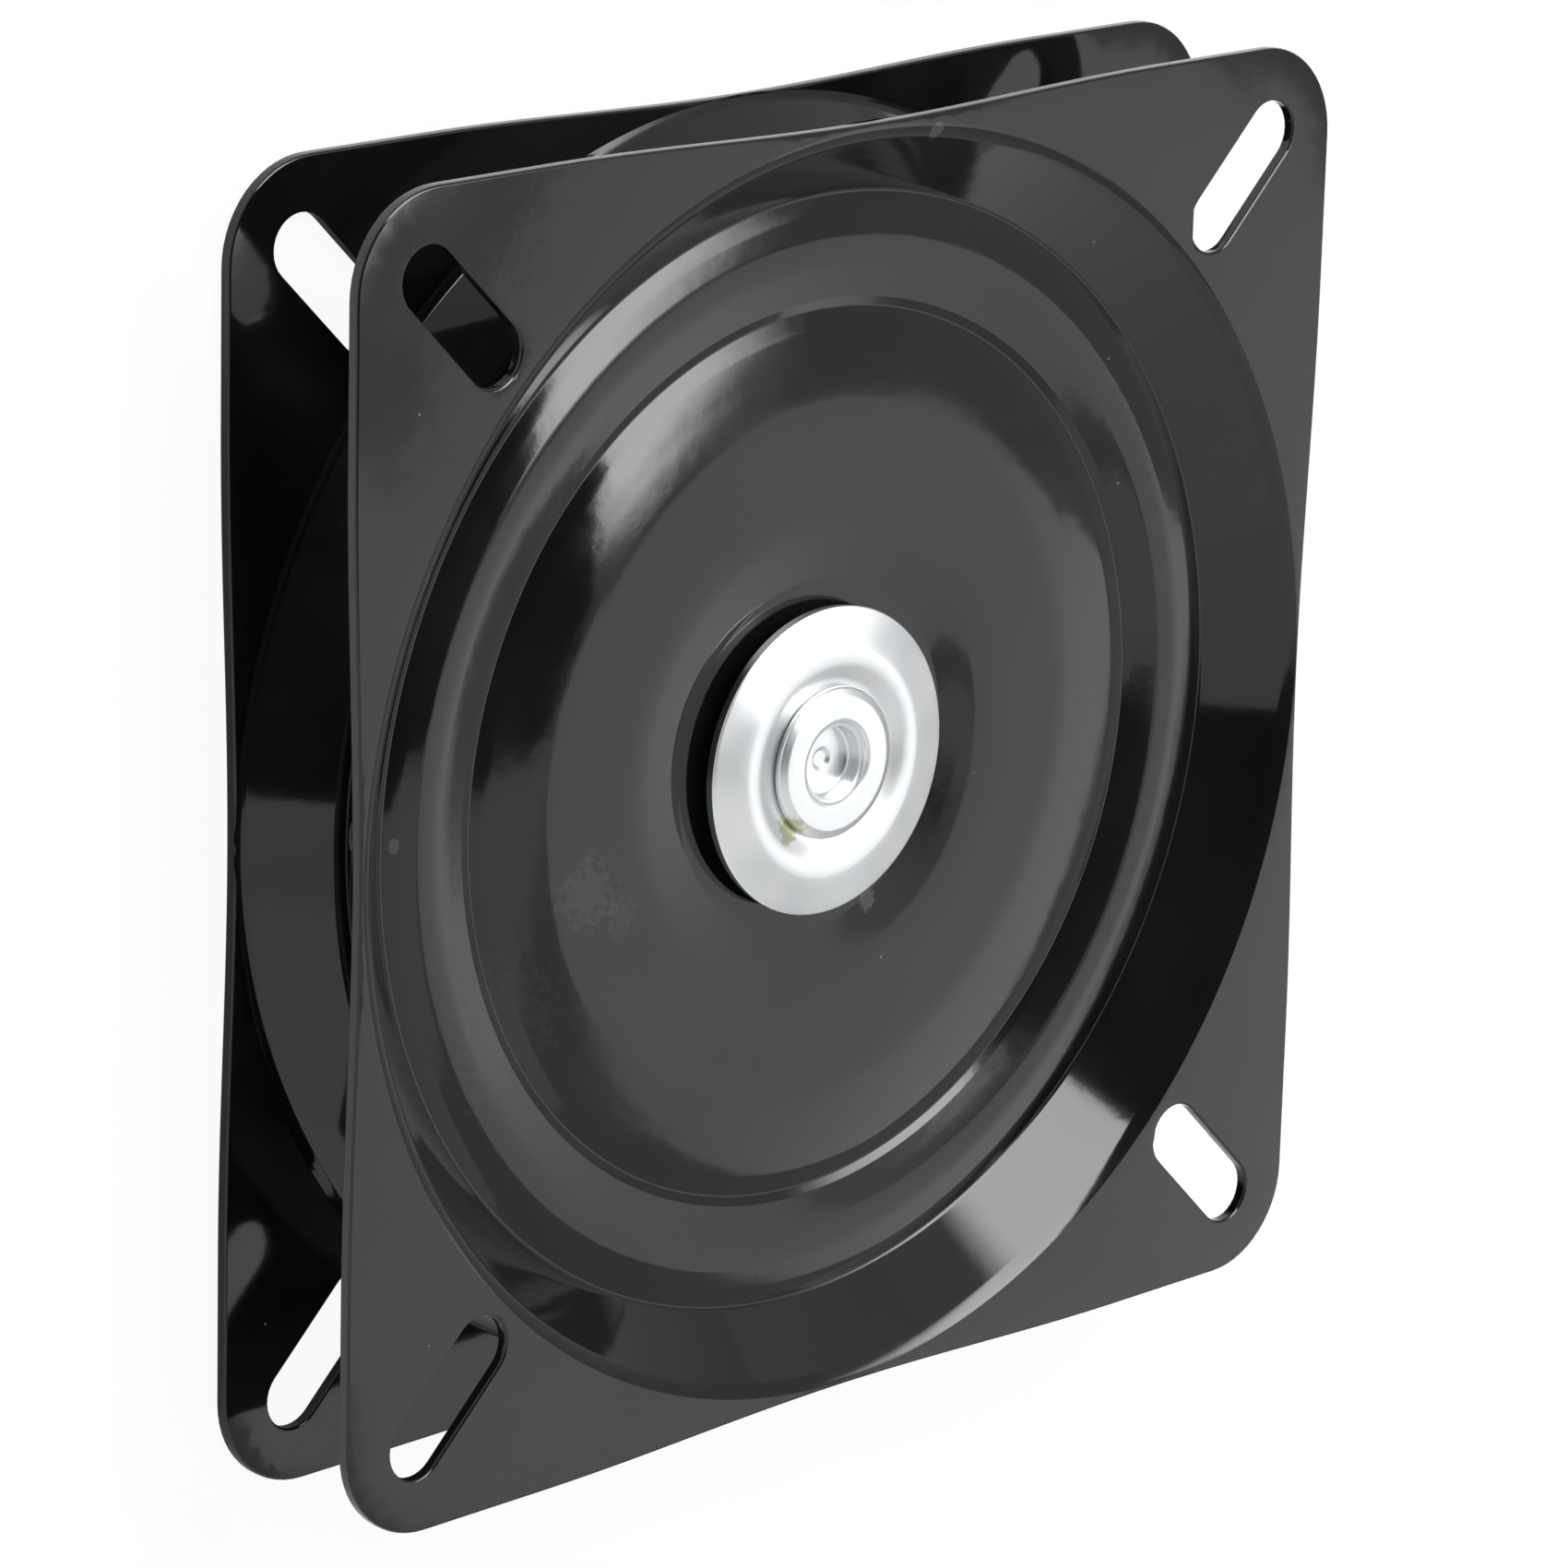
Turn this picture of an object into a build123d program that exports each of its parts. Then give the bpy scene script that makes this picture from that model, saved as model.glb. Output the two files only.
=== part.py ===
from build123d import *

import math
import os

os.makedirs("parts", exist_ok=True)

# A square seat swivel. Two pressed plates face each other across a ring of balls, and one tubular
# rivet with a dished washer at each end holds them together. The swivel axis is Z, and the lower
# plate's mounting face lies on Z = 0. Sizes are in millimetres.

# Whole swivel
plate_side = 200.0
total_height = 29.4
mid_height = total_height / 2

# Pressed plate
sheet = 2.0
corner_radius = 15.0
side_bow = 1.5  # the pressing draws each side in at its middle
edge_round = 0.4

# Mounting slots, one across each corner's diagonal
slot_pitch = 161.0  # between the middles of two neighbouring slots
slot_width = 10.1
slot_travel = 17.2  # between the two end centres of one slot

# Ring profile of the plate, from the hub outward: radius, and depth below the mounting face
hub_radius = 27.5
hub_depth = 10.1
hub_bend = 4.0
crown_inner_radius = 33.2
crown_outer_radius = 54.0
crown_depth = 9.1
crown_inner_bend = 57.0
crown_outer_bend = 60.0
dish_radius = 64.5
dish_depth = 10.05
dish_bend = 30.0
inner_fold_radius = 68.3
inner_fold_depth = 10.6
flank_radius = 71.5
flank_depth = 10.3
flank_bend = 10.0
outer_fold_radius = 86.4
outer_fold_depth = 9.95
fold_bend = 0.8
shoulder_radius = 96.7
shoulder_bend = 4.0

# Ball race
ball_diameter = 7.0
race_radius = 78.0
race_clearance = 0.05
groove_bend = 7.0
ball_count = 16
cage_width = 10.0
cage_thickness = 2.0
pocket_clearance = 0.05

# Rivet, washers and bushes
shank_radius = 8.0
shank_fit = 0.05
head_radius = 11.8
head_depth = 4.2
recess_radius = 6.3
recess_step = 0.9
bore_radius = 5.6
bore_depth = 3.6
mouth_bend = 0.5
rim_bend = 1.2
washer_radius = 24.0
washer_sheet = 1.8
washer_seat_depth = 6.0
washer_seat_radius = 12.4
washer_crest_radius = 17.0
washer_crest_depth = 5.0
washer_rim_depth = 6.3
sleeve_radius = 9.9
sleeve_fit = 0.1
running_gap = 0.05
bush_radius = 16.0
bush_chamfer = 0.4


def turned(points, radii):
    """Solid of revolution about Z from a closed outline of (radius, height) points."""
    outline = FilletPolyline(*points, radius=radii, close=True)
    return revolve(Plane.XZ * make_face(outline), Axis.Z)


def pressed_ring(points, radii, thickness):
    """Sheet of even thickness turned about Z, whose lower face follows the (radius, height) points."""
    lower_face = FilletPolyline(*points, radius=radii)
    section = offset(lower_face, thickness, side=Side.LEFT, closed=True)
    return revolve(Plane.XZ * make_face(section), Axis.Z)


def tangent_slope(fold_radius, fold_depth, crest_depth_centre, crest_bend):
    """Slope of the line from a bend that just touches the arch over the balls."""
    across = abs(race_radius - fold_radius)
    below = crest_depth_centre - fold_depth
    reach = math.hypot(across, below)
    return math.asin(crest_bend / reach) - math.atan2(below, across)


def plate_profile():
    """Lower plate's outer face as (radius, height) points with a bend radius for each inner point."""
    arch_bend = groove_bend + sheet
    arch_top = mid_height - ball_diameter / 2 - race_clearance - sheet
    arch_centre = arch_top + arch_bend
    slope_in = math.tan(tangent_slope(flank_radius, flank_depth, arch_centre, arch_bend))
    slope_out = math.tan(tangent_slope(outer_fold_radius, outer_fold_depth, arch_centre, arch_bend))
    span = outer_fold_radius - flank_radius
    rise = flank_depth - outer_fold_depth
    inner_run = (span * slope_out + rise) / (slope_in + slope_out)
    crest = (flank_radius + inner_run, flank_depth - inner_run * slope_in)
    points = [
        (sleeve_radius + sleeve_fit, hub_depth),
        (hub_radius, hub_depth),
        (crown_inner_radius, crown_depth),
        (crown_outer_radius, crown_depth),
        (dish_radius, dish_depth),
        (inner_fold_radius, inner_fold_depth),
        (flank_radius, flank_depth),
        crest,
        (outer_fold_radius, outer_fold_depth),
        (shoulder_radius, 0.0),
        (plate_side * 0.75, 0.0),
    ]
    disc_bends = [hub_bend, crown_inner_bend, crown_outer_bend, dish_bend]
    return points, disc_bends + [fold_bend, flank_bend, arch_bend, fold_bend, shoulder_bend]


def square_blank():
    """Outline of the plate: a rounded square whose sides are drawn in at their middles."""
    half = plate_side / 2
    straight = half - corner_radius
    knee = half - corner_radius * (1 - math.sqrt(0.5))
    side = Spline(
        (-straight, half),
        (-60.0, half - 0.05 * side_bow),
        (-30.0, half - 0.5 * side_bow),
        (0.0, half - side_bow),
        (30.0, half - 0.5 * side_bow),
        (60.0, half - 0.05 * side_bow),
        (straight, half),
        tangents=((1.0, 0.0), (1.0, 0.0)),
    )
    corner = ThreePointArc((straight, half), (knee, knee), (half, straight))
    quarter = Curve() + [side, corner]
    outline = Curve() + [Rot(0, 0, 90 * turn) * quarter for turn in range(4)]
    return make_face(outline.edges())


def lower_plate():
    """Pressed square plate with its mounting face down on Z = 0."""
    points, bends = plate_profile()
    ring = pressed_ring(points, bends, sheet)
    blank = extrude(square_blank(), total_height)
    slot = extrude(SlotCenterToCenter(slot_travel, slot_width), 4 * sheet, both=True)
    slot_place = slot_pitch / math.sqrt(2)
    slots = [Rot(0, 0, 45 + 90 * turn) * Pos(slot_place, 0, 0) * slot for turn in range(4)]
    plate = ring & blank
    plate -= slots
    rims = [
        edge
        for edge in plate.edges().filter_by_position(Axis.Z, 0.0, 0.0)
        if not (edge.geom_type == GeomType.CIRCLE and edge.radius > corner_radius + 1)
    ]
    return fillet(rims, edge_round)


def lower_washer():
    """Dished washer that presses the bush against the lower disc."""
    points = [
        (shank_radius + shank_fit, washer_seat_depth),
        (washer_seat_radius, washer_seat_depth),
        (washer_crest_radius, washer_crest_depth),
        (washer_radius, washer_rim_depth),
    ]
    return pressed_ring(points, [4.0, 6.0], washer_sheet)


def rivet():
    """Tubular rivet with a rolled head at each end and a stepped recess in each head."""
    top = total_height - head_depth
    seat = total_height - washer_seat_depth
    step = top - recess_step
    floor = top - bore_depth
    upper_half = [
        (0.0, floor),
        (bore_radius, floor),
        (bore_radius, step),
        (recess_radius, step),
        (recess_radius, top),
        (head_radius, top),
        (head_radius, seat),
        (shank_radius, seat),
    ]
    lower_half = [(radius, total_height - height) for radius, height in reversed(upper_half)]
    points = upper_half + lower_half
    bends = [0.0, 0.0, 0.0, 0.0, mouth_bend, rim_bend, 0.0, 0.0]
    return turned(points, bends + bends[::-1])


def flanged_bush(gap):
    """Bush whose flange fills the space between washer and disc, less the gap, and whose sleeve
    lines the plate's hole."""
    flange_low = washer_seat_depth + washer_sheet
    flange_high = hub_depth - gap
    sleeve_high = hub_depth + sheet
    bore = shank_radius + shank_fit
    points = [
        (bore, flange_low),
        (bush_radius, flange_low),
        (bush_radius, flange_high),
        (sleeve_radius, flange_high),
        (sleeve_radius, sleeve_high),
        (bore, sleeve_high),
    ]
    bush = turned(points, 0.0)
    rounds = bush.edges().filter_by(GeomType.CIRCLE)
    flange_rims = [edge for edge in rounds if edge.radius > sleeve_radius + 1]
    return chamfer(flange_rims, bush_chamfer)


def mirrored(shape):
    """The same piece on the other plate."""
    return mirror(shape, Plane.XY.offset(mid_height))


bottom_plate = lower_plate()
export_step(bottom_plate, "parts/bottom_plate.step")
export_step(mirrored(bottom_plate), "parts/top_plate.step")

washer = lower_washer()
export_step(washer, "parts/lower_washer.step")
export_step(mirrored(washer), "parts/upper_washer.step")

export_step(rivet(), "parts/center_rivet.step")

# The lower bush sits tight on its disc, and the upper one leaves its disc free to turn
export_step(flanged_bush(0.0), "parts/lower_bush.step")
export_step(mirrored(flanged_bush(running_gap)), "parts/upper_bush.step")

# Spacer ring round the rivet, which stands on the lower disc and keeps the upper one off it
spacer_low = hub_depth + sheet
spacer_height = total_height - 2 * spacer_low - running_gap
spacer_bore = shank_radius + shank_fit
spacer = Pos(0, 0, spacer_low) * extrude(Circle(bush_radius) - Circle(spacer_bore), spacer_height)
export_step(spacer, "parts/spacer_bush.step")

# Ball cage at mid height, with one pocket for each ball
cage_ring = Circle(race_radius + cage_width / 2) - Circle(race_radius - cage_width / 2)
cage_ring -= PolarLocations(race_radius, ball_count) * Circle(ball_diameter / 2 + pocket_clearance)
cage = extrude(Plane.XY.offset(mid_height) * cage_ring, cage_thickness / 2, both=True)
export_step(cage, "parts/ball_cage.step")

for number, place in enumerate(PolarLocations(race_radius, ball_count), start=1):
    ball = Pos(0, 0, mid_height) * place * Sphere(ball_diameter / 2)
    export_step(ball, f"parts/ball_{number:02d}.step")
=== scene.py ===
import logging
import math
from dataclasses import dataclass, field
from enum import Enum

import bmesh
import bpy
from mathutils import Matrix, Vector


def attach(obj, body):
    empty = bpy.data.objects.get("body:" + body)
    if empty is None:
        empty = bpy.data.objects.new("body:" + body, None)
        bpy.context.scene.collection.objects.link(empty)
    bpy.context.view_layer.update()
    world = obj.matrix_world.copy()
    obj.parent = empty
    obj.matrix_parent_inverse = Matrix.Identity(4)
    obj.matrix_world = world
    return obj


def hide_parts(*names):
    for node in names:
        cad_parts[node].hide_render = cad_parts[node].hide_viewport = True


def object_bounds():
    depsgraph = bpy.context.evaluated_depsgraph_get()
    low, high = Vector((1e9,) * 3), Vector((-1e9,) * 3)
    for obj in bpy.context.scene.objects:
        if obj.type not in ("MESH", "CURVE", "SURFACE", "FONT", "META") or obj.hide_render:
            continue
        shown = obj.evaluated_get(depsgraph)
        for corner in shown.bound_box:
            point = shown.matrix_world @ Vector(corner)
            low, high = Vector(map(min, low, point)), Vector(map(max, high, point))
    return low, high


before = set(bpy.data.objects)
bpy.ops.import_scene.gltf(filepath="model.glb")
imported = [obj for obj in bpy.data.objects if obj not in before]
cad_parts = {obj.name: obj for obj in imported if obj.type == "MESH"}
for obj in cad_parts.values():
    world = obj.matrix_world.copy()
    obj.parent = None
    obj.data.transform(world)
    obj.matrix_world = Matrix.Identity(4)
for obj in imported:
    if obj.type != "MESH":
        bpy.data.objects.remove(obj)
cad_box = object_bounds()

log = logging.getLogger("seat_swivel")
MM = 0.001
NEAR = MM / 100
MERGE = MM / 200

BEND_STEP_DEGREES = 4.0
FEWEST_BEND_STEPS = 3
MARK_GRAIN = 900.0
MARK_DETAIL = 6.0
MARK_EDGE = (1.25, 0.75)


class Slot(Enum):
    """Names of the paint and zinc material slots; nothing in this script uses them."""

    PAINT = "gloss_black_paint"
    ZINC = "zinc_plate"


# Shared shader groups


class NodeSketch:
    """A node tree with short ways to add and join its nodes."""

    def __init__(self, tree: bpy.types.NodeTree) -> None:
        """Takes the tree to draw in."""
        self.tree = tree

    def add(self, kind: str, **settings: object) -> bpy.types.Node:
        """Adds a node and sets its plain properties.

        Args:
            kind: the node's type.
            settings: its properties by name.

        Returns:
            The new node.
        """
        node = self.tree.nodes.new(kind)
        for label, value in settings.items():
            setattr(node, label, value)
        return node

    def link(self, start: bpy.types.NodeSocket, end: bpy.types.NodeSocket) -> None:
        """Joins two sockets."""
        self.tree.links.new(start, end)


class ShaderGroup(NodeSketch):
    """A shader node group with named sockets."""

    def __init__(self, name: str, inputs: dict[str, float], outputs: dict[str, str]) -> None:
        """Starts the group.

        Args:
            name: the group's name in the file.
            inputs: float inputs with their default values.
            outputs: output names with their socket types.
        """
        super().__init__(bpy.data.node_groups.new(name, "ShaderNodeTree"))
        for label, value in inputs.items():
            socket = self.tree.interface.new_socket(label, in_out="INPUT", socket_type="NodeSocketFloat")
            socket.default_value = value
        for label, kind in outputs.items():
            self.tree.interface.new_socket(label, in_out="OUTPUT", socket_type=kind)
        self.source = self.tree.nodes.new("NodeGroupInput")
        self.sink = self.tree.nodes.new("NodeGroupOutput")


def build_cloud_group() -> bpy.types.NodeTree:
    """Soft uneven patches, as on a dipped or plated surface.

    Returns:
        The group, which puts out a mask from 0 to 1.
    """
    group = ShaderGroup("Soft Patches", {"Scale": 60.0, "Low": 0.35, "High": 0.65}, {"Mask": "NodeSocketFloat"})
    place = group.add("ShaderNodeTexCoord")
    noise = group.add("ShaderNodeTexNoise")
    noise.inputs["Detail"].default_value = 4.0
    noise.inputs["Roughness"].default_value = 0.55
    spread = group.add("ShaderNodeMapRange", interpolation_type="SMOOTHSTEP")
    group.link(place.outputs["Object"], noise.inputs["Vector"])
    group.link(group.source.outputs["Scale"], noise.inputs["Scale"])
    group.link(noise.outputs["Fac"], spread.inputs["Value"])
    group.link(group.source.outputs["Low"], spread.inputs["From Min"])
    group.link(group.source.outputs["High"], spread.inputs["From Max"])
    group.link(spread.outputs["Result"], group.sink.inputs["Mask"])
    return group.tree


def build_speck_group() -> bpy.types.NodeTree:
    """Scattered fine dust or pinholes.

    Returns:
        The group, which puts out a mask that is 1 on each speck.
    """
    group = ShaderGroup("Fine Specks", {"Scale": 300.0, "Size": 0.06, "Share": 0.12}, {"Mask": "NodeSocketFloat"})
    place = group.add("ShaderNodeTexCoord")
    cells = group.add("ShaderNodeTexVoronoi")
    near = group.add("ShaderNodeMath", operation="LESS_THAN")
    pick = group.add("ShaderNodeSeparateColor")
    chosen = group.add("ShaderNodeMath", operation="LESS_THAN")
    both = group.add("ShaderNodeMath", operation="MULTIPLY")
    group.link(place.outputs["Object"], cells.inputs["Vector"])
    group.link(group.source.outputs["Scale"], cells.inputs["Scale"])
    group.link(cells.outputs["Distance"], near.inputs[0])
    group.link(group.source.outputs["Size"], near.inputs[1])
    group.link(cells.outputs["Color"], pick.inputs["Color"])
    group.link(pick.outputs["Red"], chosen.inputs[0])
    group.link(group.source.outputs["Share"], chosen.inputs[1])
    group.link(near.outputs["Value"], both.inputs[0])
    group.link(chosen.outputs["Value"], both.inputs[1])
    group.link(both.outputs["Value"], group.sink.inputs["Mask"])
    return group.tree


def build_mark_group() -> bpy.types.NodeTree:
    """One ragged mark at a place on the plan of the part.

    Returns:
        The group, which puts out a mask that fades from 1 inside the mark to 0 outside.
    """
    inputs = {"X": 0.0, "Y": 0.0, "Size": 0.003, "Ragged": 0.5}
    group = ShaderGroup("Ragged Mark", inputs, {"Mask": "NodeSocketFloat"})
    place = group.add("ShaderNodeTexCoord")
    flat = group.add("ShaderNodeVectorMath", operation="MULTIPLY")
    flat.inputs[1].default_value = (1.0, 1.0, 0.0)
    centre = group.add("ShaderNodeCombineXYZ")
    away = group.add("ShaderNodeVectorMath", operation="DISTANCE")
    share = group.add("ShaderNodeMath", operation="DIVIDE")
    noise = group.add("ShaderNodeTexNoise")
    noise.inputs["Scale"].default_value = MARK_GRAIN
    noise.inputs["Detail"].default_value = MARK_DETAIL
    centred = group.add("ShaderNodeMath", operation="SUBTRACT")
    centred.inputs[1].default_value = 0.5
    uneven = group.add("ShaderNodeMath", operation="MULTIPLY_ADD")
    edge = group.add("ShaderNodeMapRange", interpolation_type="SMOOTHSTEP")
    edge.inputs["From Min"].default_value, edge.inputs["From Max"].default_value = MARK_EDGE
    group.link(place.outputs["Object"], flat.inputs[0])
    group.link(group.source.outputs["X"], centre.inputs["X"])
    group.link(group.source.outputs["Y"], centre.inputs["Y"])
    group.link(flat.outputs["Vector"], away.inputs[0])
    group.link(centre.outputs["Vector"], away.inputs[1])
    group.link(away.outputs["Value"], share.inputs[0])
    group.link(group.source.outputs["Size"], share.inputs[1])
    group.link(place.outputs["Object"], noise.inputs["Vector"])
    group.link(noise.outputs["Fac"], centred.inputs[0])
    group.link(centred.outputs["Value"], uneven.inputs[0])
    group.link(group.source.outputs["Ragged"], uneven.inputs[1])
    group.link(share.outputs["Value"], uneven.inputs[2])
    group.link(uneven.outputs["Value"], edge.inputs["Value"])
    group.link(edge.outputs["Result"], group.sink.inputs["Mask"])
    return group.tree


@dataclass
class EffectLibrary:
    """The shader groups that several finishes share."""

    patches: bpy.types.NodeTree = field(default_factory=build_cloud_group)
    specks: bpy.types.NodeTree = field(default_factory=build_speck_group)
    marks: bpy.types.NodeTree = field(default_factory=build_mark_group)


@dataclass(frozen=True)
class WearMark:
    """A scuff or smudge: its place on the plan, its size, its raggedness and how strongly it shows."""

    x: float
    y: float
    size: float
    ragged: float
    share: float


@dataclass(frozen=True)
class Clouding:
    """How the shared patches lie in a finish: their scale, and the noise levels of mask 0 and of mask 1."""

    scale: float
    low: float
    high: float


@dataclass(frozen=True)
class Relief:
    """A bump made of the shared patches: how they lie, its strength and its depth in metres."""

    clouding: Clouding
    strength: float
    depth: float


class MaterialSketch(NodeSketch):
    """A material's node tree with short ways to add groups, colours and relief."""

    def __init__(self, name: str) -> None:
        """Starts an empty material with a Principled shader.

        Args:
            name: the material's name.
        """
        self.material = bpy.data.materials.new(name)
        self.material.use_nodes = True
        super().__init__(self.material.node_tree)
        self.shader = self.tree.nodes["Principled BSDF"]

    def effect(self, tree: bpy.types.NodeTree, **values: float) -> bpy.types.NodeSocket:
        """Places a shared group.

        Args:
            tree: the group.
            values: its inputs by name.

        Returns:
            The group's mask.
        """
        node = self.add("ShaderNodeGroup", node_tree=tree)
        for label, value in values.items():
            node.inputs[label].default_value = value
        return node.outputs["Mask"]

    def patches(self, effects: EffectLibrary, clouding: Clouding) -> bpy.types.NodeSocket:
        """Places the shared patches and gives their mask."""
        return self.effect(effects.patches, Scale=clouding.scale, Low=clouding.low, High=clouding.high)

    def mark(self, effects: EffectLibrary, mark: WearMark) -> bpy.types.NodeSocket:
        """Places one shared ragged mark and gives its mask."""
        return self.effect(effects.marks, X=mark.x, Y=mark.y, Size=mark.size, Ragged=mark.ragged)

    def tint(
        self,
        mask: bpy.types.NodeSocket,
        low: tuple[float, float, float] | bpy.types.NodeSocket,
        high: tuple[float, float, float],
    ) -> bpy.types.NodeSocket:
        """Mixes two colours by a mask.

        Args:
            mask: 0 gives the low colour and 1 the high one.
            low: a colour, or a socket that carries one.
            high: a colour.

        Returns:
            The mixed colour.
        """
        mix = self.add("ShaderNodeMix", data_type="RGBA")
        self.link(mask, mix.inputs["Factor"])
        if isinstance(low, bpy.types.NodeSocket):
            self.link(low, mix.inputs["A"])
        else:
            mix.inputs["A"].default_value = (*low, 1.0)
        mix.inputs["B"].default_value = (*high, 1.0)
        return mix.outputs["Result"]

    def span(self, mask: bpy.types.NodeSocket, low: float, high: float) -> bpy.types.NodeSocket:
        """Stretches a mask to run from low to high.

        Args:
            mask: the mask, from 0 to 1.
            low: the value at 0.
            high: the value at 1.

        Returns:
            The stretched mask.
        """
        node = self.add("ShaderNodeMapRange")
        self.link(mask, node.inputs["Value"])
        node.inputs["To Min"].default_value = low
        node.inputs["To Max"].default_value = high
        return node.outputs["Result"]

    def relief(self, effects: EffectLibrary, relief: Relief) -> None:
        """Lays the shared patches over the shader's normal, on top of any earlier relief.

        Args:
            effects: the shared groups.
            relief: how the patches lie and how far they stand out.
        """
        node = self.add("ShaderNodeBump")
        node.inputs["Strength"].default_value = relief.strength
        node.inputs["Distance"].default_value = relief.depth
        self.link(self.patches(effects, relief.clouding), node.inputs["Height"])
        for earlier in self.shader.inputs["Normal"].links:
            self.link(earlier.from_socket, node.inputs["Normal"])
        self.link(node.outputs["Normal"], self.shader.inputs["Normal"])


# Finishes


@dataclass(frozen=True)
class GlossBlackPaint:
    """Dipped black enamel with a little orange peel, a slight wave, specks of dust and any marks given."""

    name: str = "Gloss Black Paint"
    deep: tuple[float, float, float] = (0.0035, 0.0035, 0.0038)
    worn: tuple[float, float, float] = (0.006, 0.006, 0.0063)
    dust: tuple[float, float, float] = (0.12, 0.12, 0.12)
    roughness: tuple[float, float] = (0.05, 0.085)
    scuff: tuple[float, float, float] = (0.30, 0.30, 0.31)
    clouds: Clouding = Clouding(38.0, 0.3, 0.7)
    peel: Relief = Relief(Clouding(320.0, 0.2, 0.8), 0.12, 0.00002)
    waves: Relief = Relief(Clouding(22.0, 0.15, 0.85), 1.0, 0.000035)
    speck_scale: float = 260.0
    speck_size: float = 0.055
    speck_share: float = 0.05
    marks: tuple[WearMark, ...] = ()

    def build(self, effects: EffectLibrary) -> bpy.types.Material:
        """Makes the material.

        Args:
            effects: the shared groups.

        Returns:
            The material.
        """
        sketch = MaterialSketch(self.name)
        patches = sketch.patches(effects, self.clouds)
        specks = sketch.effect(effects.specks, Scale=self.speck_scale, Size=self.speck_size, Share=self.speck_share)
        paint = sketch.tint(patches, self.deep, self.worn)
        for mark in self.marks:
            paint = sketch.tint(sketch.span(sketch.mark(effects, mark), 0.0, mark.share), paint, self.scuff)
        sketch.link(sketch.tint(specks, paint, self.dust), sketch.shader.inputs["Base Color"])
        sketch.link(sketch.span(patches, *self.roughness), sketch.shader.inputs["Roughness"])
        sketch.relief(effects, self.peel)
        sketch.relief(effects, self.waves)
        return sketch.material


@dataclass(frozen=True)
class BrightZinc:
    """Zinc plating on pressed steel: bright, cool and slightly clouded, with one yellow-green stain."""

    name: str = "Bright Zinc"
    cool: tuple[float, float, float] = (0.74, 0.765, 0.785)
    pale: tuple[float, float, float] = (0.82, 0.83, 0.83)
    stain: tuple[float, float, float] = (0.50, 0.52, 0.36)
    roughness: tuple[float, float] = (0.27, 0.34)
    stain_mark: WearMark = WearMark(-8.7 * MM, -9.4 * MM, 2.1 * MM, 2.5, 1.0)
    clouds: Clouding = Clouding(90.0, 0.15, 0.85)
    grain: Relief = Relief(Clouding(900.0, 0.2, 0.8), 0.05, 0.00001)

    def build(self, effects: EffectLibrary) -> bpy.types.Material:
        """Makes the material.

        Args:
            effects: the shared groups.

        Returns:
            The material.
        """
        sketch = MaterialSketch(self.name)
        sketch.shader.inputs["Metallic"].default_value = 1.0
        clouds = sketch.patches(effects, self.clouds)
        stained = sketch.span(sketch.mark(effects, self.stain_mark), 0.0, self.stain_mark.share)
        plate = sketch.tint(clouds, self.cool, self.pale)
        sketch.link(sketch.tint(stained, plate, self.stain), sketch.shader.inputs["Base Color"])
        sketch.link(sketch.span(clouds, *self.roughness), sketch.shader.inputs["Roughness"])
        sketch.relief(effects, self.grain)
        return sketch.material


@dataclass(frozen=True)
class MouldedNylon:
    """Satin moulded nylon."""

    name: str
    shade: tuple[float, float, float]
    light: tuple[float, float, float]
    roughness: tuple[float, float] = (0.42, 0.55)
    clouds: Clouding = Clouding(90.0, 0.3, 0.7)
    grain: Relief = Relief(Clouding(1400.0, 0.2, 0.8), 0.2, 0.00002)

    def build(self, effects: EffectLibrary) -> bpy.types.Material:
        """Makes the material.

        Args:
            effects: the shared groups.

        Returns:
            The material.
        """
        sketch = MaterialSketch(self.name)
        clouds = sketch.patches(effects, self.clouds)
        sketch.link(sketch.tint(clouds, self.shade, self.light), sketch.shader.inputs["Base Color"])
        sketch.link(sketch.span(clouds, *self.roughness), sketch.shader.inputs["Roughness"])
        sketch.relief(effects, self.grain)
        return sketch.material


@dataclass(frozen=True)
class BallSteel:
    """Polished ball steel under a film of grease."""

    name: str = "Ball Steel"
    clean: tuple[float, float, float] = (0.66, 0.67, 0.69)
    greasy: tuple[float, float, float] = (0.46, 0.44, 0.38)
    roughness: tuple[float, float] = (0.06, 0.2)
    film: Clouding = Clouding(240.0, 0.4, 0.7)

    def build(self, effects: EffectLibrary) -> bpy.types.Material:
        """Makes the material.

        Args:
            effects: the shared groups.

        Returns:
            The material.
        """
        sketch = MaterialSketch(self.name)
        sketch.shader.inputs["Metallic"].default_value = 1.0
        film = sketch.patches(effects, self.film)
        sketch.link(sketch.tint(film, self.clean, self.greasy), sketch.shader.inputs["Base Color"])
        sketch.link(sketch.span(film, *self.roughness), sketch.shader.inputs["Roughness"])
        return sketch.material


# The swivel's own pieces


def dress(node: str, material: bpy.types.Material) -> None:
    """Gives a CAD node its material.

    Args:
        node: the node's name in the frame.
        material: its finish.
    """
    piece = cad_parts[node]
    piece.data.materials.clear()
    piece.data.materials.append(material)
    log.info("%s is finished in %s", node, material.name)


def place_mesh(bm: bmesh.types.BMesh, name: str, material: bpy.types.Material) -> bpy.types.Object:
    """Puts a bmesh into the scene as an object at the origin.

    Args:
        bm: the finished mesh, which is freed here.
        name: the object's name.
        material: its finish.

    Returns:
        The new object.
    """
    mesh = bpy.data.meshes.new(name)
    bm.to_mesh(mesh)
    bm.free()
    mesh.materials.append(material)
    placed = bpy.data.objects.new(name, mesh)
    bpy.context.scene.collection.objects.link(placed)
    return placed


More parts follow.
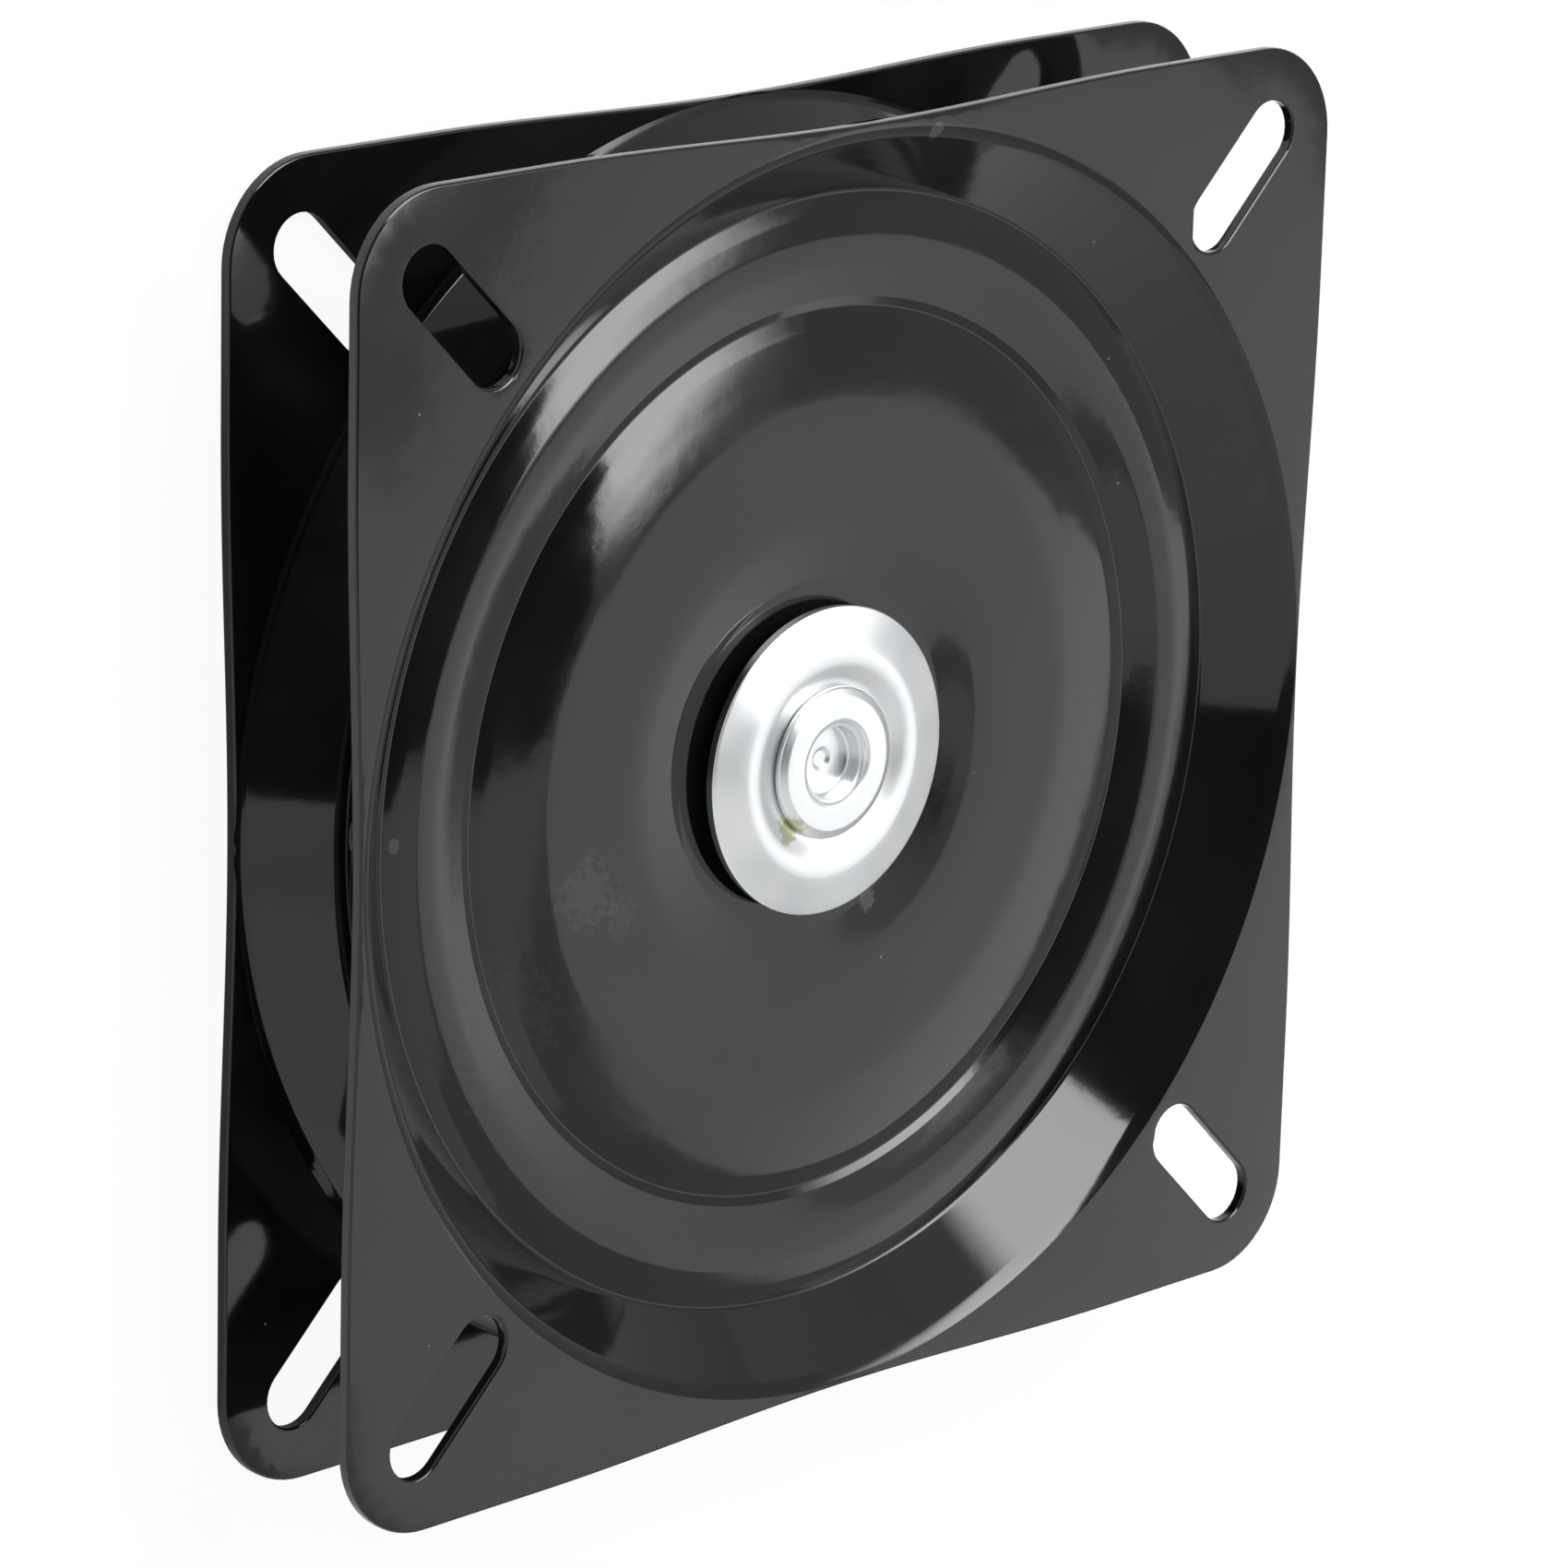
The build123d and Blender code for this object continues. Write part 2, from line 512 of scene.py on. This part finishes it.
def publish(bm: bmesh.types.BMesh, name: str, material: bpy.types.Material, body: str) -> bpy.types.Object:
    """Turns a bmesh into a smooth piece of the swivel.

    Args:
        bm: the finished mesh, which is freed here.
        name: the piece's name.
        material: its finish.
        body: the moving body that carries it.

    Returns:
        The new object.
    """
    piece = place_mesh(bm, name, material)
    piece.data.shade_smooth()
    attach(piece, body)
    log.info("%s has %d faces and rides on %s", name, len(piece.data.polygons), body)
    return piece


@dataclass(frozen=True)
class Knot:
    """A corner of a turned profile: its radius, its depth and the bend that rounds it."""

    radius: float
    depth: float
    bend: float = 0.0


def trace_profile(bm: bmesh.types.BMesh, knots: list[Knot], row: float) -> list[bmesh.types.BMEdge]:
    """Draws a bent profile in the XZ plane.

    Args:
        bm: the mesh to draw in.
        knots: the profile's corners, each with its bend.
        row: longest straight edge to leave.

    Returns:
        The profile's edges.
    """
    corners = [bm.verts.new((knot.radius, 0.0, knot.depth)) for knot in knots]
    edges = [bm.edges.new(pair) for pair in zip(corners, corners[1:])]
    bends = []
    for before, corner, after, knot in zip(corners, corners[1:], corners[2:], knots[1:]):
        turn = (corner.co - before.co).angle(after.co - corner.co)
        if knot.bend > 0.0:
            steps = max(FEWEST_BEND_STEPS, math.ceil(math.degrees(turn) / BEND_STEP_DEGREES))
            bends.append((corner, knot.bend * math.tan(turn / 2), steps))
    for corner, reach, segments in bends:
        bmesh.ops.bevel(
            bm,
            geom=[corner],
            offset=reach,
            offset_type="OFFSET",
            affect="VERTICES",
            segments=segments,
            profile=0.5,
            material=-1,
        )
    for edge in list(bm.edges):
        cuts = math.ceil(edge.calc_length() / row) - 1
        if cuts > 0:
            bmesh.ops.subdivide_edges(bm, edges=[edge], cuts=cuts)
    return list(bm.edges)


@dataclass
class PressedPlate:
    """A square plate pressed into rings, as a fine shell whose outer face starts at depth 0."""

    node: str
    body: str
    turned_over: bool
    side: float = 200.0 * MM
    corner: float = 15.0 * MM
    bow: float = 1.5 * MM
    bow_reach: float = 62.0 * MM
    sheet: float = 2.0 * MM
    rim: float = 0.4 * MM
    slot_pitch: float = 161.0 * MM
    slot_width: float = 10.1 * MM
    slot_travel: float = 17.2 * MM
    hole: float = 10.0 * MM
    ring: float = 98.0 * MM
    shoulder_bend: float = 4.0 * MM
    turns: int = 360
    row: float = 4.0 * MM
    side_steps: int = 34
    corner_steps: int = 14
    slot_steps: int = 16
    rim_steps: int = 3
    flattest_rim_degrees: float = 60.0

    def knots(self) -> list[Knot]:
        """Lists the profile's corners from the hole outward.

        Returns:
            The corners.
        """
        return [
            Knot(self.hole, 10.1 * MM),
            Knot(27.5 * MM, 10.1 * MM, 4.0 * MM),
            Knot(37.2 * MM, 9.1 * MM, 55.0 * MM),
            Knot(53.5 * MM, 9.1 * MM, 60.0 * MM),
            Knot(61.0 * MM, 9.55 * MM, 200.0 * MM),
            Knot(66.2 * MM, 10.0 * MM, 12.0 * MM),
            Knot(68.8 * MM, 10.5 * MM, 0.8 * MM),
            Knot(70.3 * MM, 10.15 * MM, 2.0 * MM),
            Knot(77.0 * MM, 9.15 * MM, 25.0 * MM),
            Knot(79.8 * MM, 9.15 * MM, 20.0 * MM),
            Knot(84.2 * MM, 9.48 * MM, 15.0 * MM),
            Knot(86.4 * MM, 9.95 * MM, 0.8 * MM),
            Knot(96.7 * MM, 0.0, self.shoulder_bend),
            Knot(self.ring + self.shoulder_bend, 0.0),
        ]

    def build(self, material: bpy.types.Material) -> bpy.types.Object:
        """Makes the plate and hides the plain solid that it stands for.

        Args:
            material: the paint.

        Returns:
            The plate's object.
        """
        bm = bmesh.new()
        self._press_rings(bm)
        self._fill_flange(bm)
        self._thicken(bm)
        self._round_rims(bm)
        if self.turned_over:
            bmesh.ops.scale(bm, verts=bm.verts, vec=(1.0, 1.0, -1.0))
            bmesh.ops.translate(bm, verts=bm.verts, vec=(0.0, 0.0, cad_box[1].z))
            bmesh.ops.reverse_faces(bm, faces=bm.faces)
        plate = publish(bm, f"{self.node}_shell", material, self.body)
        weigh = plate.modifiers.new("Even Shading", "WEIGHTED_NORMAL")
        weigh.weight = 100
        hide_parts(self.node)
        return plate

    def _press_rings(self, bm: bmesh.types.BMesh) -> None:
        """Spins the profile and trims it to the outermost ring.

        Args:
            bm: the plate's mesh.
        """
        profile = trace_profile(bm, self.knots(), self.row)
        bmesh.ops.bisect_plane(
            bm,
            geom=[*bm.verts, *profile],
            plane_co=(self.ring, 0.0, 0.0),
            plane_no=(1.0, 0.0, 0.0),
            clear_outer=True,
        )
        for vert in bm.verts:
            if vert.co.x > self.ring - NEAR:
                vert.co.z = 0.0
        bmesh.ops.spin(
            bm,
            geom=[*bm.verts, *bm.edges],
            cent=(0.0, 0.0, 0.0),
            axis=(0.0, 0.0, 1.0),
            angle=math.tau,
            steps=self.turns,
            use_merge=True,
        )

    def _fill_flange(self, bm: bmesh.types.BMesh) -> None:
        """Fills the flat flange between the ring, the outline and the four slots.

        Args:
            bm: the plate's mesh.
        """
        ring = [edge for edge in bm.edges if edge.is_boundary and edge.verts[0].co.z < NEAR]
        self._draw_outline(bm)
        self._draw_slots(bm)
        drawn = [edge for edge in bm.edges if edge.is_wire]
        bmesh.ops.triangle_fill(bm, use_beauty=True, edges=[*ring, *drawn])

    def _draw_outline(self, bm: bmesh.types.BMesh) -> None:
        """Draws the rounded square whose sides are drawn in at their middles.

        Args:
            bm: the plate's mesh.
        """
        half = self.side / 2
        straight = half - self.corner
        tip = bm.verts.new((-straight, half, 0.0))
        for step in range(1, self.side_steps + 1):
            x = straight * (2 * step / self.side_steps - 1)
            tip = bmesh.ops.extrude_vert_indiv(bm, verts=[tip])["verts"][0]
            tip.co = (x, half - self._bow_at(x), 0.0)
        bmesh.ops.spin(
            bm,
            geom=[tip],
            cent=(straight, straight, 0.0),
            axis=(0.0, 0.0, 1.0),
            angle=-math.pi / 2,
            steps=self.corner_steps,
        )
        side = [edge for edge in bm.edges if edge.is_wire]
        corners = {vert for edge in side for vert in edge.verts}
        for turn in range(1, 4):
            copy = bmesh.ops.duplicate(bm, geom=[*corners, *side])
            copied = [item for item in copy["geom"] if isinstance(item, bmesh.types.BMVert)]
            bmesh.ops.rotate(bm, verts=copied, matrix=Matrix.Rotation(turn * math.pi / 2, 3, "Z"))
        outline = {vert for edge in bm.edges if edge.is_wire for vert in edge.verts}
        bmesh.ops.remove_doubles(bm, verts=list(outline), dist=NEAR)

    def _bow_at(self, x: float) -> float:
        """How far the side is drawn in at a place along it."""
        return self.bow * (1 + math.cos(math.pi * min(abs(x) / self.bow_reach, 1.0))) / 2

    def _draw_slots(self, bm: bmesh.types.BMesh) -> None:
        """Draws the four slots, each across its corner's diagonal.

        Args:
            bm: the plate's mesh.
        """
        place = self.slot_pitch / math.sqrt(2)
        for number in range(4):
            turn = Matrix.Rotation(math.radians(45 + 90 * number), 3, "Z")
            ends = []
            for way in (-1, 1):
                centre = turn @ Vector((place + way * self.slot_travel / 2, 0.0, 0.0))
                start = bm.verts.new(centre + turn @ Vector((0.0, -way * self.slot_width / 2, 0.0)))
                arc = bmesh.ops.spin(
                    bm,
                    geom=[start],
                    cent=centre,
                    axis=(0.0, 0.0, 1.0),
                    angle=math.pi,
                    steps=self.slot_steps,
                )
                ends.append((start, arc["geom_last"][0]))
            bm.edges.new((ends[0][1], ends[1][0]))
            bm.edges.new((ends[1][1], ends[0][0]))

    def _thicken(self, bm: bmesh.types.BMesh) -> None:
        """Turns the outer face outward and gives the sheet its thickness.

        Args:
            bm: the plate's mesh.
        """
        bmesh.ops.recalc_face_normals(bm, faces=bm.faces)
        flange = max(bm.faces, key=lambda face: face.calc_center_median().length)
        if flange.normal.z > 0.0:
            bmesh.ops.reverse_faces(bm, faces=bm.faces)
        bmesh.ops.solidify(bm, geom=bm.faces, thickness=self.sheet)

    def _round_rims(self, bm: bmesh.types.BMesh) -> None:
        """Rounds the cut edges of the outline and the slots.

        Args:
            bm: the plate's mesh.
        """
        square = [
            edge
            for edge in bm.edges
            if len(edge.link_faces) == 2
            and edge.calc_face_angle() > math.radians(self.flattest_rim_degrees)
            and edge.verts[0].co.xy.length > self.ring
        ]
        bmesh.ops.bevel(
            bm,
            geom=square,
            offset=self.rim,
            offset_type="OFFSET",
            affect="EDGES",
            segments=self.rim_steps,
            profile=0.5,
            material=-1,
            clamp_overlap=False,
        )


@dataclass
class TurnedPiece:
    """A fine piece turned about the swivel's axis, from an outline of radius and height."""

    node: str
    outline: list[Knot]
    mirror_height: float = 0.0
    open_at_axis: bool = False
    turns: int = 144
    row: float = 1.5 * MM

    def build(self, material: bpy.types.Material) -> bpy.types.Object:
        """Turns the outline and hides the plain solid that it stands for.

        Args:
            material: the finish.

        Returns:
            The piece's object.
        """
        bm = bmesh.new()
        ring = self.outline if self.open_at_axis else [*self.outline, self.outline[0]]
        trace_profile(bm, ring, self.row)
        bmesh.ops.remove_doubles(bm, verts=bm.verts, dist=MERGE)
        bmesh.ops.spin(
            bm,
            geom=[*bm.verts, *bm.edges],
            cent=(0.0, 0.0, 0.0),
            axis=(0.0, 0.0, 1.0),
            angle=math.tau,
            steps=self.turns,
            use_merge=True,
        )
        if self.mirror_height > 0.0:
            bmesh.ops.scale(bm, verts=bm.verts, vec=(1.0, 1.0, -1.0))
            bmesh.ops.translate(bm, verts=bm.verts, vec=(0.0, 0.0, self.mirror_height))
        bmesh.ops.remove_doubles(bm, verts=bm.verts, dist=MERGE)
        bmesh.ops.recalc_face_normals(bm, faces=bm.faces)
        piece = publish(bm, f"{self.node}_shell", material, "base")
        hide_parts(self.node)
        return piece


@dataclass
class PlatePair:
    """The two pressed mounting plates."""

    lower: PressedPlate = field(default_factory=lambda: PressedPlate("bottom_plate", "base", False))
    upper: PressedPlate = field(default_factory=lambda: PressedPlate("top_plate", "turntable", True))

    wear: tuple[WearMark, ...] = (
        WearMark(12.9 * MM, -25.4 * MM, 1.6 * MM, 1.5, 0.14),
        WearMark(-46.7 * MM, -12.5 * MM, 4.5 * MM, 4.0, 0.04),
        WearMark(-39.0 * MM, -17.5 * MM, 2.5 * MM, 5.0, 0.03),
        WearMark(-84.0 * MM, 1.8 * MM, 1.0 * MM, 1.5, 0.1),
        WearMark(-62.0 * MM, -30.0 * MM, 9.0 * MM, 4.0, 0.015),
        WearMark(13.1 * MM, 95.7 * MM, 1.2 * MM, 1.5, 0.12),
    )

    def dress(self, effects: EffectLibrary) -> None:
        """Builds and paints both plates, with the wear on the upper one.

        Args:
            effects: the shared groups.
        """
        for plate, paint in (
            (self.lower, GlossBlackPaint()),
            (self.upper, GlossBlackPaint("Worn Gloss Black Paint", marks=self.wear)),
        ):
            skin = paint.build(effects)
            dress(plate.node, skin)
            plate.build(skin)


@dataclass
class RivetStack:
    """The rivet, its washers and the bushes round it."""

    bushes: tuple[str, ...] = ("upper_bush", "lower_bush", "spacer_bush")
    height: float = 29.4 * MM

    def washer(self) -> list[Knot]:
        """Outline of the lower washer, from its hole along the outer face and back.

        Returns:
            The outline's corners.
        """
        return [
            Knot(8.05 * MM, 6.0 * MM),
            Knot(12.4 * MM, 6.0 * MM, 5.0 * MM),
            Knot(16.4 * MM, 4.95 * MM, 8.0 * MM),
            Knot(24.0 * MM, 6.3 * MM, 0.35 * MM),
            Knot(23.7 * MM, 8.05 * MM, 0.2 * MM),
            Knot(16.4 * MM, 6.8 * MM, 6.0 * MM),
            Knot(12.4 * MM, 7.8 * MM, 3.0 * MM),
            Knot(8.05 * MM, 7.8 * MM),
        ]

    def rivet(self) -> list[Knot]:
        """Outline of the rivet, from the dimple of its lower recess to that of its upper one.

        Returns:
            The outline's corners.
        """
        lower = [
            Knot(0.0, 8.15 * MM),
            Knot(1.2 * MM, 8.15 * MM, 0.3 * MM),
            Knot(1.9 * MM, 7.8 * MM, 0.3 * MM),
            Knot(5.6 * MM, 7.8 * MM, 0.5 * MM),
            Knot(5.6 * MM, 5.1 * MM, 0.15 * MM),
            Knot(6.25 * MM, 5.0 * MM, 0.15 * MM),
            Knot(6.35 * MM, 4.35 * MM, 0.25 * MM),
            Knot(7.0 * MM, 4.2 * MM, 0.4 * MM),
            Knot(10.4 * MM, 4.22 * MM, 1.2 * MM),
            Knot(11.8 * MM, 4.75 * MM, 0.6 * MM),
            Knot(11.75 * MM, 5.65 * MM, 0.4 * MM),
            Knot(10.9 * MM, 6.0 * MM),
            Knot(8.0 * MM, 6.0 * MM),
        ]
        upper = [Knot(knot.radius, self.height - knot.depth, knot.bend) for knot in reversed(lower)]
        return [*lower, *upper]

    def dress(self, effects: EffectLibrary) -> None:
        """Plates the metal pieces and gives the bushes their nylon.

        Args:
            effects: the shared groups.
        """
        zinc = BrightZinc().build(effects)
        for piece in (
            TurnedPiece("center_rivet", self.rivet(), open_at_axis=True),
            TurnedPiece("lower_washer", self.washer()),
            TurnedPiece("upper_washer", self.washer(), mirror_height=self.height),
        ):
            dress(piece.node, zinc)
            piece.build(zinc)
        nylon = MouldedNylon("Black Nylon", (0.018, 0.018, 0.019), (0.032, 0.032, 0.033)).build(effects)
        for node in self.bushes:
            dress(node, nylon)


@dataclass
class BallRace:
    """The caged balls between the plates."""

    cage: str = "ball_cage"

    def dress(self, effects: EffectLibrary) -> None:
        """Finishes the cage and every ball.

        Args:
            effects: the shared groups.
        """
        dress(self.cage, MouldedNylon("Cage Nylon", (0.50, 0.48, 0.42), (0.66, 0.64, 0.57)).build(effects))
        steel = BallSteel().build(effects)
        for node in sorted(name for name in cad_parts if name.startswith("ball_") and name != self.cage):
            dress(node, steel)


# The studio


@dataclass(frozen=True)
class Fade:
    """A smooth change of a card's glow along a studio direction, from a share of it to all of it."""

    direction: tuple[float, float, float]
    start: float
    end: float
    share: float


@dataclass(frozen=True)
class StudioCard:
    """A flat glowing or dark card, with corners as (away from the camera, to its left, up) in metres."""

    name: str
    corners: tuple[tuple[float, float, float], ...]
    glow: float
    fades: tuple[Fade, ...] = ()
    least: float = 0.0

    def build(self, turn: Matrix) -> bpy.types.Object:
        """Makes the card.

        Args:
            turn: rotation from studio directions to the swivel's frame.

        Returns:
            The card's object.
        """
        bm = bmesh.new()
        rim = [bm.verts.new(turn @ Vector(corner)) for corner in self.corners]
        bmesh.ops.contextual_create(bm, geom=rim)
        card = place_mesh(bm, self.name, self._skin(turn))
        card.visible_camera = False
        log.info("studio card %s glows at %.2f", self.name, self.glow)
        return card

    def _skin(self, turn: Matrix) -> bpy.types.Material:
        """Makes the card's glowing material, with its fades.

        Args:
            turn: rotation from studio directions to the swivel's frame.

        Returns:
            The material.
        """
        material = bpy.data.materials.new(self.name)
        material.use_nodes = True
        sketch = NodeSketch(material.node_tree)
        sketch.tree.nodes.clear()
        lamp = sketch.add("ShaderNodeEmission")
        out = sketch.add("ShaderNodeOutputMaterial")
        sketch.link(lamp.outputs["Emission"], out.inputs["Surface"])
        lamp.inputs["Strength"].default_value = self.glow
        place = sketch.add("ShaderNodeTexCoord")
        level = None
        for fade in self.fades:
            along = sketch.add("ShaderNodeVectorMath", operation="DOT_PRODUCT")
            along.inputs[1].default_value = turn @ Vector(fade.direction)
            sketch.link(place.outputs["Object"], along.inputs[0])
            step = sketch.add("ShaderNodeMapRange", interpolation_type="SMOOTHSTEP")
            step.inputs["From Min"].default_value = fade.start
            step.inputs["From Max"].default_value = fade.end
            step.inputs["To Min"].default_value = fade.share
            sketch.link(along.outputs["Value"], step.inputs["Value"])
            product = sketch.add("ShaderNodeMath", operation="MULTIPLY")
            sketch.link(step.outputs["Result"], product.inputs[0])
            product.inputs[1].default_value = self.glow
            if level is not None:
                sketch.link(level, product.inputs[1])
            level = product.outputs["Value"]
        if level is not None:
            keep = sketch.add("ShaderNodeMath", operation="MAXIMUM")
            keep.inputs[1].default_value = self.least
            sketch.link(level, keep.inputs[0])
            sketch.link(keep.outputs["Value"], lamp.inputs["Strength"])
        return material


@dataclass
class Studio:
    """Pale floor and surroundings, a bright window, a dark opening and a soft lamp."""

    floor_half: float = 4.0
    floor_level: float = -0.0003
    shadow_share: float = 0.07
    floor_shade: float = 0.86
    floor_roughness: float = 0.9
    surround: float = 0.95
    cards: tuple[StudioCard, ...] = (
        StudioCard(
            "Bright Window",
            (
                (2.0, -0.47, 1.21),
                (2.0, -0.50, 1.70),
                (2.0, -0.48, 2.08),
                (2.0, -0.30, 2.33),
                (2.0, -0.17, 2.42),
                (2.0, -0.10, 2.50),
                (2.0, 0.0, 2.51),
                (2.0, 0.13, 2.42),
                (2.0, 0.24, 2.36),
                (2.0, 0.40, 2.23),
                (2.0, 0.43, 2.00),
                (2.0, 0.44, 1.80),
                (2.0, 0.37, 1.60),
                (2.0, 0.335, 1.47),
                (2.0, 0.32, 1.33),
                (2.0, 0.31, 1.21),
            ),
            1.27,
            (Fade((0.0, 0.0, -1.0), -1.1, -1.8, 1.45),),
        ),
        StudioCard("Grey Wall", ((2.3, -1.6, -0.1), (2.3, -1.6, 2.9), (2.3, 3.2, 2.9), (2.3, 3.2, -0.1)), 0.50),
        StudioCard("Grey Side", ((2.3, 3.2, -0.1), (2.3, 3.2, 2.9), (-2.5, 3.2, 2.9), (-2.5, 3.2, -0.1)), 0.62),
        StudioCard("Grey Ceiling", ((2.3, 0.0, 2.9), (2.3, 3.2, 2.9), (-2.5, 3.2, 2.9), (-2.5, 0.0, 2.9)), 0.62),
        StudioCard("Pale Ceiling", ((2.3, 0.0, 2.9), (2.3, -3.0, 2.9), (-2.5, -3.0, 2.9), (-2.5, 0.0, 2.9)), 0.85),
        StudioCard(
            "Dark Opening",
            (
                (1.045, 0.000, 1.4),
                (1.050, 0.040, 1.4),
                (1.040, 0.085, 1.4),
                (1.000, 0.130, 1.4),
                (0.920, 0.165, 1.4),
                (0.750, 0.230, 1.4),
                (-0.760, 0.950, 1.4),
                (-1.600, 1.350, 1.4),
                (-1.600, -1.100, 1.4),
                (-0.870, -0.680, 1.4),
                (0.660, -0.150, 1.4),
                (0.900, -0.085, 1.4),
                (1.000, -0.065, 1.4),
                (1.045, -0.035, 1.4),
            ),
            0.03,
        ),
        StudioCard(
            "Soft Lamp",
            (
                (1.160, 0.050, 1.385),
                (1.052, 0.050, 1.385),
                (1.045, 0.092, 1.385),
                (1.005, 0.137, 1.385),
                (0.925, 0.172, 1.385),
                (0.760, 0.234, 1.385),
                (-0.750, 0.958, 1.385),
                (-1.100, 1.250, 1.385),
                (0.100, 2.900, 1.385),
                (0.980, 0.850, 1.385),
                (1.150, 0.450, 1.385),
                (1.220, 0.300, 1.385),
            ),
            9.0,
            (
                Fade((0.95, -0.30, 0.0), 1.02, 0.88, 0.0),
                Fade((0.75, 0.66, 0.0), 1.25, 0.86, 0.0),
                Fade((0.0, 1.0, 0.0), 0.06, 0.20, 0.0),
            ),
            0.7,
        ),
    )

    def build(self, axis: Vector) -> None:
        """Makes the floor, the world and the cards.

        Args:
            axis: level direction away from the camera.
        """
        self._floor()
        self._world()
        side = Vector((0.0, 0.0, 1.0)).cross(axis)
        turn = Matrix((axis, side, Vector((0.0, 0.0, 1.0)))).transposed()
        for card in self.cards:
            card.build(turn)

    def _floor(self) -> None:
        """Makes a pale floor that keeps a faint shadow of the part."""
        bm = bmesh.new()
        bmesh.ops.create_grid(bm, x_segments=1, y_segments=1, size=self.floor_half)
        bmesh.ops.translate(bm, verts=bm.verts, vec=(0.0, 0.0, self.floor_level))
        floor = place_mesh(bm, "Floor", self._floor_skin())
        log.info("floor laid at %.4f m", self.floor_level)

    def _floor_skin(self) -> bpy.types.Material:
        """Makes the floor's material, which the camera sees as white but for a share of its shadow.

        Returns:
            The material.
        """
        sketch = MaterialSketch("Pale Floor")
        shader = sketch.shader
        shader.inputs["Base Color"].default_value = (self.floor_shade, self.floor_shade, self.floor_shade, 1.0)
        shader.inputs["Roughness"].default_value = self.floor_roughness
        shader.inputs["Specular IOR Level"].default_value = 0.0
        glow = sketch.add("ShaderNodeEmission")
        path = sketch.add("ShaderNodeLightPath")
        share = sketch.add("ShaderNodeMath", operation="MULTIPLY")
        share.inputs[1].default_value = 1.0 - self.shadow_share
        mix = sketch.add("ShaderNodeMixShader")
        sketch.link(path.outputs["Is Camera Ray"], share.inputs[0])
        sketch.link(share.outputs["Value"], mix.inputs["Fac"])
        sketch.link(shader.outputs["BSDF"], mix.inputs[1])
        sketch.link(glow.outputs["Emission"], mix.inputs[2])
        sketch.link(mix.outputs["Shader"], sketch.tree.nodes["Material Output"].inputs["Surface"])
        return sketch.material

    def _world(self) -> None:
        """Makes white surroundings, at full white to the camera."""
        world = bpy.data.worlds.new("White Surroundings")
        bpy.context.scene.world = world
        world.use_nodes = True
        sketch = NodeSketch(world.node_tree)
        back = sketch.tree.nodes["Background"]
        back.inputs["Color"].default_value = (1.0, 1.0, 1.0, 1.0)
        path = sketch.add("ShaderNodeLightPath")
        level = sketch.add("ShaderNodeMapRange")
        level.inputs["To Min"].default_value = self.surround
        level.inputs["To Max"].default_value = 1.0
        sketch.link(path.outputs["Is Camera Ray"], level.inputs["Value"])
        sketch.link(level.outputs["Result"], back.inputs["Strength"])


@dataclass
class PhotoCamera:
    """The photograph's camera, placed from the upper plate's centre."""

    lens: float = 168.3
    sensor: float = 36.0
    clip_end: float = 50.0
    distance: float = 1.0991
    right_offset: float = 0.0110
    up_offset: float = 0.0021
    toward: Vector = field(default_factory=lambda: Vector((-0.6734, 0.2805, 0.6840)).normalized())
    upward: Vector = field(default_factory=lambda: Vector((0.1781, 0.9595, -0.2181)).normalized())

    def build(self) -> bpy.types.Object:
        """Makes the camera and sets it as the scene's own.

        Returns:
            The camera's object.
        """
        rightward = self.upward.cross(self.toward).normalized()
        upward = self.toward.cross(rightward)
        top_centre = Vector((0.0, 0.0, cad_box[1].z))
        data = bpy.data.cameras.new("Photo Camera")
        data.lens = self.lens
        data.sensor_width = self.sensor
        data.clip_end = self.clip_end
        camera = bpy.data.objects.new("Photo Camera", data)
        bpy.context.scene.collection.objects.link(camera)
        place = top_centre - rightward * self.right_offset - upward * self.up_offset + self.toward * self.distance
        turn = Matrix((rightward, upward, self.toward)).transposed().to_4x4()
        camera.matrix_world = Matrix.Translation(place) @ turn
        bpy.context.scene.camera = camera
        log.info("camera stands %.3f m from the upper plate", self.distance)
        return camera

    def level_axis(self) -> Vector:
        """Level direction that points away from the camera."""
        return Vector((-self.toward.x, -self.toward.y, 0.0)).normalized()


def main() -> None:
    """Dresses the swivel and sets up the studio."""
    logging.basicConfig(level=logging.INFO, format="%(message)s")
    bpy.context.scene.view_settings.view_transform = "Standard"
    effects = EffectLibrary()
    for part in (PlatePair(), RivetStack(), BallRace()):
        part.dress(effects)
    camera = PhotoCamera()
    camera.build()
    Studio().build(camera.level_axis())


if __name__ == "__main__":
    main()
